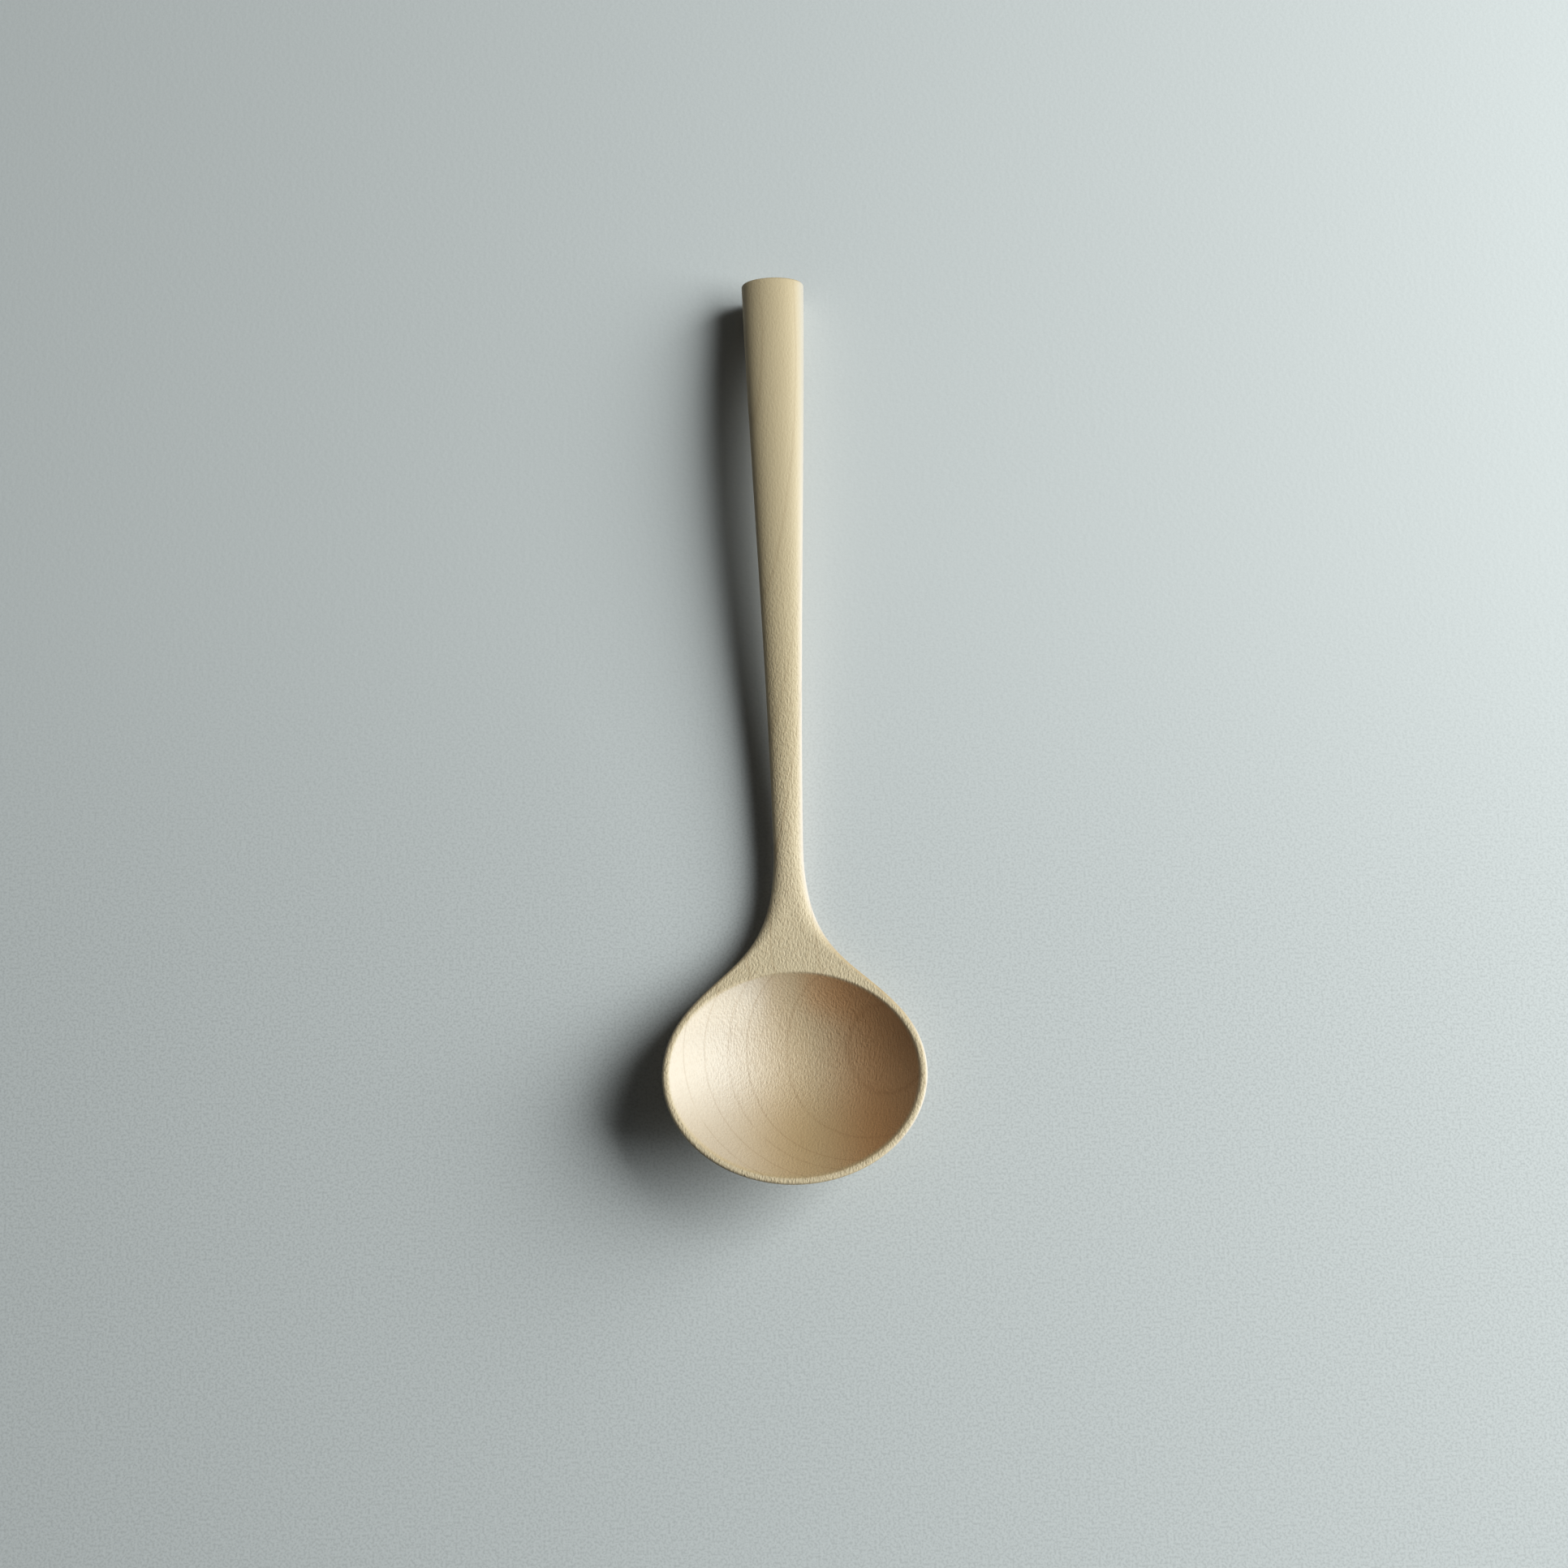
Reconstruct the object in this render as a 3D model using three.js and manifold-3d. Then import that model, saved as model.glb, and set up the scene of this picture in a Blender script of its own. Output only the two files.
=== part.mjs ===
// Wooden eating spoon, carved in one piece from a blank of pale maple.
// Millimetres, +Z up. The handle runs towards +Y and the bowl towards -Y.
// The origin lies on the table, under the middle of the spoon's box.
import * as THREE from 'three';
import { mergeVertices } from 'three/addons/utils/BufferGeometryUtils.js';
import Module from 'manifold-3d';

// Overall
const OVERALL_LENGTH = 165;

// Bowl: an oval in plan, with a rim that tips up towards the front
const BOWL_WIDTH = 45.4;
const BOWL_LENGTH = 36.6;
const BOWL_DEPTH = 9.2;
const FLOOR_THICKNESS = 2.5;
const BELLY_LIFT = 0.6;
const RIM_THICKNESS = 1.15;
const RIM_TILT_DEG = 17.5;

// Neck, and the flat web that spreads from it into the bowl
const WEB_LENGTH = 21;
const NECK_WIDTH = 5.3;
const NECK_THICKNESS = 4.2;
const NECK_CLEARANCE = 0.9;
const NECK_CROWN = 1.15;
const WEB_ROUND = 3.2;
const KEEL_BLEND = 2;

// Handle: arched in side view, crowned on top, cut square at its end
const END_WIDTH = 11.7;
const END_THICKNESS = 7.9;
const END_CROWN = 2.6;
const END_EASE = 0.6;
const END_LEAN_DEG = 11;
const HANDLE_ARCH = 2.95;

// Shape of the curves, as plain shares and angles
const TAPER_AT_END = 0.24;
const TAPER_AT_NECK = 0.13;
const LEAN_REACH = 0.2;
const CROWN_SPREAD = 0.97;
const WEB_RISE = 0.5;
const WEB_SOFTNESS = 0.4;
const HOLLOW_FULLNESS = 0.15;
const HOLLOW_OVERSHOOT = 1.2;
const WEB_FADE = 0.5;
const SHOULDER_ANGLE_DEG = 34;
const SHOULDER_PULL_NECK = 0.67;
const SHOULDER_PULL_BOWL = 0.31;
const HANDLE_UNDER_POWER = 0.6;
const WEB_UNDER_POWER = 3.2;
const BOWL_UNDER_POWER = 1.5;

// Fineness of the facets
const HANDLE_STEPS = 30;
const SHOULDER_STEPS = 14;
const BOWL_STEPS = 22;
const EASE_STEPS = 3;
const ROUND_STEPS = 6;
const UNDER_STEPS = 16;
const HOLLOW_RINGS = 12;
const HOLLOW_SPOKES = 60;

const { clamp, lerp, smoothstep, degToRad } = THREE.MathUtils;

// Places along the spoon
const endY = OVERALL_LENGTH / 2;
const frontY = -OVERALL_LENGTH / 2;
const ovalHalfWidth = BOWL_WIDTH / 2;
const ovalHalfLength = BOWL_LENGTH / 2;
const bowlY = frontY + ovalHalfLength;
const ovalBackY = bowlY + ovalHalfLength;
const hollowBackY = ovalBackY - RIM_THICKNESS;
const neckY = ovalBackY + WEB_LENGTH;

// Heights above the table
const tiltSlope = Math.tan(degToRad(RIM_TILT_DEG));
const rimHeight = BOWL_DEPTH + FLOOR_THICKNESS;
const rimRound = RIM_THICKNESS / 2;
const neckTop = NECK_CLEARANCE + NECK_THICKNESS;
const bellyDepth = rimHeight - rimRound - BELLY_LIFT;

function rimLine(y) {
  return rimHeight - tiltSlope * (y - bowlY);
}

// Share of the way from the handle's end (0) to the neck (1)
function handleShare(y) {
  return (endY - y) / (endY - neckY);
}

// Share of the way from the hollow's back edge (0) to the neck (1)
function webShare(y) {
  return clamp((y - hollowBackY) / (neckY - hollowBackY), 0, 1);
}

// How far the rounding of the neck has grown from the rim's small one (0) to its own (1)
function webRise(y) {
  return smoothstep(webShare(y), 0, WEB_RISE);
}

// One-dimensional cubic curve through its first and last values
function cubic(t, first, pullFirst, pullLast, last) {
  const curve = new THREE.CubicBezierCurve(
    new THREE.Vector2(0, first),
    new THREE.Vector2(1 / 3, pullFirst),
    new THREE.Vector2(2 / 3, pullLast),
    new THREE.Vector2(1, last),
  );
  return curve.getPoint(t).y;
}

// The lower of two lines, with a rounded corner where they cross
function smoothMin(a, b, blend) {
  const near = Math.max(blend - Math.abs(a - b), 0) / blend;
  return Math.min(a, b) - near * near * blend / 4;
}

// Side view, upper line: arched handle, dip at the neck, straight tilted rim
function topLine(y) {
  if (y >= neckY) {
    const share = handleShare(y);
    return handleUnderside(share) + lerp(END_THICKNESS, NECK_THICKNESS, share);
  }
  if (y <= hollowBackY) {
    return rimLine(y);
  }
  const run = neckY - hollowBackY;
  const rimEnd = rimLine(hollowBackY);
  const pull = rimEnd - tiltSlope * run / 3;
  return cubic(webShare(y), rimEnd, pull, neckTop, neckTop);
}

// Gap under the handle: highest a third of the way along, level at the neck
function handleUnderside(share) {
  const peakPull = 9 / 4;
  return cubic(share, 0, HANDLE_ARCH * peakPull, NECK_CLEARANCE, NECK_CLEARANCE);
}

// Side view, lower line: handle and neck, running into the bowl's round back
function keelLine(y) {
  const share = handleShare(y);
  const neckLine = share < 1 ? handleUnderside(share) : NECK_CLEARANCE;
  const along = (y - bowlY) / ovalHalfLength;
  if (Math.abs(along) >= 1) {
    return y > bowlY ? neckLine : edgeHeight(y);
  }
  const fall = Math.pow(1 - along * along, BOWL_UNDER_POWER / 2);
  const bowlLine = edgeHeight(y) - bellyDepth * fall;
  if (y <= bowlY) {
    return bowlLine;
  }
  const lift = (KEEL_BLEND + BELLY_LIFT) * (1 - smoothstep(along, 0, WEB_FADE));
  return smoothMin(bowlLine, neckLine + lift, KEEL_BLEND);
}

// How far the top falls from its ridge to the widest line of the section
function crownDrop(y) {
  if (y >= neckY) {
    const left = 1 - handleShare(y);
    return lerp(NECK_CROWN, END_CROWN, left * left);
  }
  return lerp(rimRound, NECK_CROWN, webRise(y));
}

// 2 gives a round crown; a little more, as on the web, keeps it flatter in the middle
function crownPower(y) {
  const share = webShare(y);
  return 2 + 4 * WEB_SOFTNESS * share * (1 - share);
}

// How far in from the side the top is rounded: all of the handle, the rim's edge only
function roundWidth(y, halfWidth) {
  const full = CROWN_SPREAD * halfWidth;
  if (y >= neckY) {
    return full;
  }
  return Math.min(full, lerp(rimRound, WEB_ROUND, webRise(y)));
}

function edgeHeight(y) {
  return topLine(y) - crownDrop(y);
}

// Hollowed flanks under the web, a full round under the handle and the bowl
function underPower(y) {
  if (y >= ovalBackY) {
    return lerp(WEB_UNDER_POWER, HANDLE_UNDER_POWER, smoothstep(y, ovalBackY, neckY));
  }
  const fadeY = bowlY + WEB_FADE * ovalHalfLength;
  return lerp(BOWL_UNDER_POWER, WEB_UNDER_POWER, smoothstep(y, fadeY, ovalBackY));
}

// Plan outline of one side, from the handle's end to the bowl's front
function planOutline() {
  const endHalf = END_WIDTH / 2;
  const neckHalf = NECK_WIDTH / 2;
  const taper = endHalf - neckHalf;
  const handle = new THREE.CubicBezierCurve(
    new THREE.Vector2(endHalf, endY),
    new THREE.Vector2(endHalf - TAPER_AT_END * taper, lerp(endY, neckY, 1 / 3)),
    new THREE.Vector2(neckHalf + TAPER_AT_NECK * taper, lerp(endY, neckY, 2 / 3)),
    new THREE.Vector2(neckHalf, neckY),
  );

  const leave = degToRad(SHOULDER_ANGLE_DEG);
  const joinX = ovalHalfWidth * Math.cos(leave);
  const joinY = bowlY + ovalHalfLength * Math.sin(leave);
  const run = neckY - joinY;
  const slope = ovalHalfWidth * Math.tan(leave) / ovalHalfLength;
  const shoulder = new THREE.CubicBezierCurve(
    new THREE.Vector2(neckHalf, neckY),
    new THREE.Vector2(neckHalf, neckY - SHOULDER_PULL_NECK * run),
    new THREE.Vector2(
      Math.max(neckHalf, joinX - slope * SHOULDER_PULL_BOWL * run),
      joinY + SHOULDER_PULL_BOWL * run,
    ),
    new THREE.Vector2(joinX, joinY),
  );

  const oval = new THREE.EllipseCurve(
    0, bowlY, ovalHalfWidth, ovalHalfLength, leave, -Math.PI / 2, true,
  );
  return [
    ...handle.getPoints(HANDLE_STEPS).slice(1),
    ...shoulder.getPoints(SHOULDER_STEPS).slice(1),
    ...oval.getPoints(BOWL_STEPS).slice(1, -1),
  ];
}

// Points round one cross-section: over the top from left to right, then back below
function sectionRing(halfWidth, y, inset) {
  const round = roundWidth(y, halfWidth);
  const ridge = topLine(y) - inset;
  const edge = edgeHeight(y);
  const keel = keelLine(y) + inset;
  const crown = crownPower(y);
  const power = underPower(y);
  const side = halfWidth - inset;

  const half = [];
  for (let i = 0; i <= ROUND_STEPS; i += 1) {
    const turn = (Math.PI / 2) * (i / ROUND_STEPS);
    const reach = halfWidth - round * (1 - Math.cos(turn));
    const rise = Math.sqrt(1 - Math.pow(Math.cos(turn), crown));
    half.push([side * reach / halfWidth, edge + (ridge - edge) * rise]);
  }

  const ring = half.map(([x, z]) => [-x, z]);
  ring.push(...half.slice().reverse());
  for (let i = 1; i < UNDER_STEPS; i += 1) {
    const turn = Math.PI / 2 - Math.PI * (i / UNDER_STEPS);
    const depth = (edge - keel) * Math.pow(Math.cos(turn), power);
    ring.push([side * Math.sin(turn), edge - depth]);
  }

  const share = Math.max(0, 1 - handleShare(y) / LEAN_REACH);
  const lean = Math.tan(degToRad(END_LEAN_DEG)) * share * share;
  const faceTop = END_THICKNESS - END_EASE;
  return ring.map(([x, z]) => new THREE.Vector3(x, y + lean * (z - faceTop), z));
}

// Sections from the eased end of the handle to the last one before the bowl's front
function allRings() {
  const rings = [];
  const endHalf = END_WIDTH / 2;
  for (let i = 0; i <= EASE_STEPS; i += 1) {
    const turn = (Math.PI / 2) * (i / EASE_STEPS);
    const inset = END_EASE * (1 - Math.sin(turn));
    rings.push(sectionRing(endHalf, endY - END_EASE * (1 - Math.cos(turn)), inset));
  }
  for (const point of planOutline()) {
    rings.push(sectionRing(point.x, point.y, 0));
  }
  return rings;
}

// Closed skin over the rings, flat at the handle's end and pointed at the front
function blankGeometry() {
  const rings = allRings();
  const count = rings[0].length;
  const points = rings.flat();
  const endMiddle = points.length;
  const tip = endMiddle + 1;
  const middle = new THREE.Vector3();
  rings[0].forEach((point) => middle.addScaledVector(point, 1 / count));
  points.push(middle);
  points.push(new THREE.Vector3(0, frontY, edgeHeight(frontY)));

  const faces = [];
  for (let j = 0; j < count; j += 1) {
    const next = (j + 1) % count;
    faces.push(endMiddle, j, next);
    for (let i = 0; i < rings.length - 1; i += 1) {
      const near = i * count;
      const far = near + count;
      faces.push(near + j, far + j, far + next);
      faces.push(near + j, far + next, near + next);
    }
    const last = (rings.length - 1) * count;
    faces.push(tip, last + next, last + j);
  }
  const geometry = new THREE.BufferGeometry().setFromPoints(points);
  geometry.setIndex(faces);
  return geometry;
}

// Dished hollow of the bowl, oval in plan and tilted with the rim
function hollowGeometry() {
  const profile = [];
  for (let i = 0; i <= HOLLOW_RINGS; i += 1) {
    const reach = HOLLOW_OVERSHOOT * i / HOLLOW_RINGS;
    const square = reach * reach;
    const depth = BOWL_DEPTH * (1 - square) * (1 + HOLLOW_FULLNESS * square);
    profile.push(new THREE.Vector2(reach, -depth));
  }
  profile.push(new THREE.Vector2(0, profile[HOLLOW_RINGS].y));
  const geometry = new THREE.LatheGeometry(profile, HOLLOW_SPOKES);
  geometry.rotateX(Math.PI / 2);
  geometry.scale(ovalHalfWidth - RIM_THICKNESS, ovalHalfLength - RIM_THICKNESS, 1);
  geometry.applyMatrix4(new THREE.Matrix4().makeShear(0, 0, 0, -tiltSlope, 0, 0));
  geometry.translate(0, bowlY, rimHeight);
  return geometry;
}

// Everything below the table under the bowl, which leaves a small flat sole
function belowTableGeometry() {
  const length = neckY - frontY;
  const geometry = new THREE.BoxGeometry(BOWL_WIDTH, length, rimHeight);
  geometry.translate(0, frontY + length / 2, -rimHeight / 2);
  return geometry;
}

const wasm = await Module();
wasm.setup();

function toSolid(geometry) {
  geometry.deleteAttribute('normal');
  geometry.deleteAttribute('uv');
  const merged = mergeVertices(geometry);
  const index = merged.index.array;
  const triVerts = [];
  for (let i = 0; i < index.length; i += 3) {
    const [a, b, c] = index.slice(i, i + 3);
    if (a !== b && b !== c && c !== a) {
      triVerts.push(a, b, c);
    }
  }
  return new wasm.Manifold(new wasm.Mesh({
    numProp: 3,
    vertProperties: merged.attributes.position.array,
    triVerts: Uint32Array.from(triVerts),
  }));
}

function toGeometry(solid) {
  const mesh = solid.getMesh();
  const geometry = new THREE.BufferGeometry();
  geometry.setAttribute('position', new THREE.BufferAttribute(mesh.vertProperties, 3));
  geometry.setIndex(new THREE.BufferAttribute(mesh.triVerts, 1));
  geometry.computeVertexNormals();
  return geometry;
}

const maple = new THREE.MeshStandardMaterial({ color: 0xcebea6, roughness: 0.55, metalness: 0 });

const carved = toSolid(blankGeometry())
  .subtract(toSolid(hollowGeometry()))
  .subtract(toSolid(belowTableGeometry()));

const spoon = new THREE.Mesh(toGeometry(carved), maple);
spoon.name = 'spoon';

const group = new THREE.Group();
group.add(spoon);

export default group;
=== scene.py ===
"""An eating spoon carved in one piece from pale maple, lying on a table by a window."""
from math import cos, pi, radians, sin, tan

import bpy
import numpy as np
from mathutils import Matrix, Vector


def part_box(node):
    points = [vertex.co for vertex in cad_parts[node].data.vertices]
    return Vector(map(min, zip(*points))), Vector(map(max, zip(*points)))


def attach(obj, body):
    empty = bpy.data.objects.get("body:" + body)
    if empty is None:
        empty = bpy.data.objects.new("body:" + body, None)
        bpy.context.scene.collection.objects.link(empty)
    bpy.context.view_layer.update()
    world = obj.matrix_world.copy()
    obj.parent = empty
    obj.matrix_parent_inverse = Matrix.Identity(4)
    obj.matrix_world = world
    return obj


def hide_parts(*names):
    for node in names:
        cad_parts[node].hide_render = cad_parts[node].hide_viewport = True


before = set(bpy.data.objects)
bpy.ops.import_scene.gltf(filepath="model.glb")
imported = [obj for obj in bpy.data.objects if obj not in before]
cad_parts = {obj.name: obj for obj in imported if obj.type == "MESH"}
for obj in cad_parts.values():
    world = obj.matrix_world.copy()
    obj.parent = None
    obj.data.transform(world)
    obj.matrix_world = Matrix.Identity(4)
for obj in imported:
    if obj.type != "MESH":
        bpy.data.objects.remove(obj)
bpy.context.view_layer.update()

MM = 0.001
TINY = 1e-9

# Sizes of the spoon in millimetres, with its length and width from the frame
box_low, box_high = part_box("spoon")
OVERALL_LENGTH = (box_high[1] - box_low[1]) / MM
BOWL_WIDTH = (box_high[0] - box_low[0]) / MM
BOWL_LENGTH = 36.6
BOWL_DEPTH = 9.2
FLOOR_THICKNESS = 2.5
BELLY_LIFT = 0.6
RIM_THICKNESS = 1.15
RIM_TILT = radians(17.5)
HOLLOW_FULLNESS = 0.15
HOLLOW_EASE = 0.4
WEB_LENGTH = 21.0
NECK_WIDTH = 5.3
NECK_THICKNESS = 4.2
NECK_CLEARANCE = 0.9
NECK_CROWN = 1.15
WEB_ROUND = 3.2
KEEL_BLEND = 2.0
END_WIDTH = 11.7
END_THICKNESS = 7.9
END_CROWN = 2.6
END_EASE = 0.6
END_LEAN = radians(11)
HANDLE_ARCH = 2.95

# Shape of the curves, as plain shares and angles
TAPER_AT_END = 0.24
TAPER_AT_NECK = 0.13
LEAN_REACH = 0.2
ARCH_PULL = 9 / 4
FACE_TOP_EASE = 0.8
HOLLOW_BRINK = 0.97
WEB_RISE = 0.5
WEB_SOFTNESS = 0.4
WEB_FADE = 0.5
NECK_ROLL = 0.06
SHOULDER_ANGLE = radians(34)
SHOULDER_PULL_NECK = 0.67
SHOULDER_PULL_BOWL = 0.31
HANDLE_UNDER_POWER = 0.6
WEB_UNDER_POWER = 3.2
BOWL_UNDER_POWER = 1.5

# Fineness of the surface, with rings and rows crowded towards the edge of the hollow
HOLLOW_RINGS = 48
RING_CROWDING = 1.8
FRONT_SPOKES = 180
NECK_SPOKES = 80
RIM_STEPS = 10
SHOULDER_ROWS = 70
ROW_CROWDING = 1.25
HANDLE_ROWS = 120
EASE_ROWS = 6
END_FACE_ROWS = 6
OUTLINE_SAMPLES = 2000

# Places along the spoon and heights above the table
end_y = OVERALL_LENGTH / 2
front_y = -OVERALL_LENGTH / 2
oval_half_width = BOWL_WIDTH / 2
oval_half_length = BOWL_LENGTH / 2
bowl_y = front_y + oval_half_length
oval_back_y = bowl_y + oval_half_length
hollow_back_y = oval_back_y - RIM_THICKNESS
hollow_half_width = oval_half_width - RIM_THICKNESS
hollow_half_length = oval_half_length - RIM_THICKNESS
neck_y = oval_back_y + WEB_LENGTH
join_x = oval_half_width * cos(SHOULDER_ANGLE)
join_y = bowl_y + oval_half_length * sin(SHOULDER_ANGLE)
tilt_slope = tan(RIM_TILT)
rim_height = BOWL_DEPTH + FLOOR_THICKNESS
rim_round = RIM_THICKNESS / 2
neck_top = NECK_CLEARANCE + NECK_THICKNESS
belly_depth = rim_height - rim_round - BELLY_LIFT


def lerp(first, last, share):
    return first + (last - first) * share


def smoothstep(value, low, high):
    share = np.clip((value - low) / (high - low), 0, 1)
    return share * share * (3 - 2 * share)


def cubic(t, first, pull_first, pull_last, last):
    """Cubic curve from first to last, drawn towards its two pulls."""
    s = 1 - t
    return s**3 * first + 3 * s * s * t * pull_first + 3 * s * t * t * pull_last + t**3 * last


def smooth_min(a, b, blend):
    near = np.maximum(blend - np.abs(a - b), 0) / blend
    return np.minimum(a, b) - near * near * blend / 4


def rim_line(y):
    return rim_height - tilt_slope * (y - bowl_y)


def handle_share(y):
    return (end_y - y) / (end_y - neck_y)


def web_share(y):
    return np.clip((y - hollow_back_y) / (neck_y - hollow_back_y), 0, 1)


def web_rise(y):
    return smoothstep(web_share(y), 0, WEB_RISE)


def handle_underside(share):
    """Lower line of the handle: a cubic curve rises to 4/9 of its first pull."""
    return cubic(share, 0, HANDLE_ARCH * ARCH_PULL, NECK_CLEARANCE, NECK_CLEARANCE)


def top_line(y):
    """Side view, upper line: arched handle, dip at the neck, tilted rim."""
    share = handle_share(y)
    handle = handle_underside(share) + lerp(END_THICKNESS, NECK_THICKNESS, share)
    rim_end = rim_line(hollow_back_y)
    pull = rim_end - tilt_slope * (neck_y - hollow_back_y) / 3
    web = cubic(web_share(y), rim_end, pull, neck_top, neck_top)
    return np.where(y >= neck_y, handle, np.where(y <= hollow_back_y, rim_line(y), web))


def crown_drop(y):
    handle = lerp(NECK_CROWN, END_CROWN, (1 - handle_share(y)) ** 2)
    web = lerp(rim_round, NECK_CROWN, web_rise(y))
    return np.where(y >= neck_y, handle, web)


def crown_power(y):
    """2 gives a round crown; more, as on the web, leaves it flatter in the middle."""
    share = web_share(y)
    return 2 + 4 * WEB_SOFTNESS * share * (1 - share)


def round_width(y, half_width):
    web = lerp(rim_round, WEB_ROUND, web_rise(y))
    return np.where(y >= neck_y, half_width, np.minimum(half_width, web))


def keel_line(y):
    """Side view, lower line: handle and neck, running into the bowl's round back."""
    share = handle_share(y)
    neck_line = np.where(share < 1, handle_underside(share), NECK_CLEARANCE)
    along = np.clip((y - bowl_y) / oval_half_length, -1, 1)
    fall = (1 - along * along) ** (BOWL_UNDER_POWER / 2)
    edge = top_line(y) - crown_drop(y)
    bowl_line = edge - belly_depth * fall
    lift = (KEEL_BLEND + BELLY_LIFT) * (1 - smoothstep(along, 0, WEB_FADE))
    round_back = smooth_min(bowl_line, neck_line + lift, KEEL_BLEND)
    return np.where(y < oval_back_y, round_back, neck_line)


def under_power(y):
    handle = lerp(WEB_UNDER_POWER, HANDLE_UNDER_POWER, smoothstep(y, oval_back_y, neck_y))
    fade_y = bowl_y + WEB_FADE * oval_half_length
    bowl = lerp(BOWL_UNDER_POWER, WEB_UNDER_POWER, smoothstep(y, fade_y, oval_back_y))
    return np.where(y >= oval_back_y, handle, bowl)


def neck_roll(x, y):
    """The carver's hand: the neck leans a little to the right."""
    onto_neck = smoothstep(y, oval_back_y, neck_y - WEB_LENGTH / 2)
    off_neck = 1 - smoothstep(y, neck_y, neck_y + WEB_LENGTH)
    return -NECK_ROLL * x * onto_neck * off_neck


def side_outline():
    """Half widths of the shoulder and the handle, sampled from the bowl to the end."""
    t = np.linspace(0, 1, OUTLINE_SAMPLES)
    run = neck_y - join_y
    slope = oval_half_width * tan(SHOULDER_ANGLE) / oval_half_length
    neck_half = NECK_WIDTH / 2
    end_half = END_WIDTH / 2
    taper = end_half - neck_half
    pull_x = max(neck_half, join_x - slope * SHOULDER_PULL_BOWL * run)
    shoulder_x = cubic(t, join_x, pull_x, neck_half, neck_half)
    pull_y = join_y + SHOULDER_PULL_BOWL * run
    shoulder_y = cubic(t, join_y, pull_y, neck_y - SHOULDER_PULL_NECK * run, neck_y)
    handle_pull = neck_half + TAPER_AT_NECK * taper
    handle_x = cubic(t, neck_half, handle_pull, end_half - TAPER_AT_END * taper, end_half)
    handle_y = lerp(neck_y, end_y, t)
    return np.r_[shoulder_y, handle_y[1:]], np.r_[shoulder_x, handle_x[1:]]


outline_y, outline_x = side_outline()


def half_width(y):
    return np.interp(y, outline_y, outline_x)


def oval_chord(y):
    """Half width of the bowl's oval across its length."""
    return oval_half_width * np.sqrt(np.maximum(1 - ((y - bowl_y) / oval_half_length) ** 2, TINY))


def plan_half_width(y):
    return np.where(y >= join_y, half_width(y), oval_chord(y))


def oval_fullness(x, y):
    """1 at the bowl's middle and 0 on its outline."""
    return 1 - (x / oval_half_width) ** 2 - ((y - bowl_y) / oval_half_length) ** 2


def edge_gap(x, y):
    """Distance in from the outline, square to it."""
    slope = np.gradient(outline_x, outline_y)
    lean = 1 / np.sqrt(1 + np.interp(y, outline_y, slope) ** 2)
    side = (half_width(y) - np.abs(x)) * lean
    steep = np.hypot(x / oval_half_width**2, (y - bowl_y) / oval_half_length**2)
    oval = oval_fullness(x, y) / (2 * np.maximum(steep, TINY))
    return np.maximum(np.where(y >= join_y, side, oval), 0)


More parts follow.
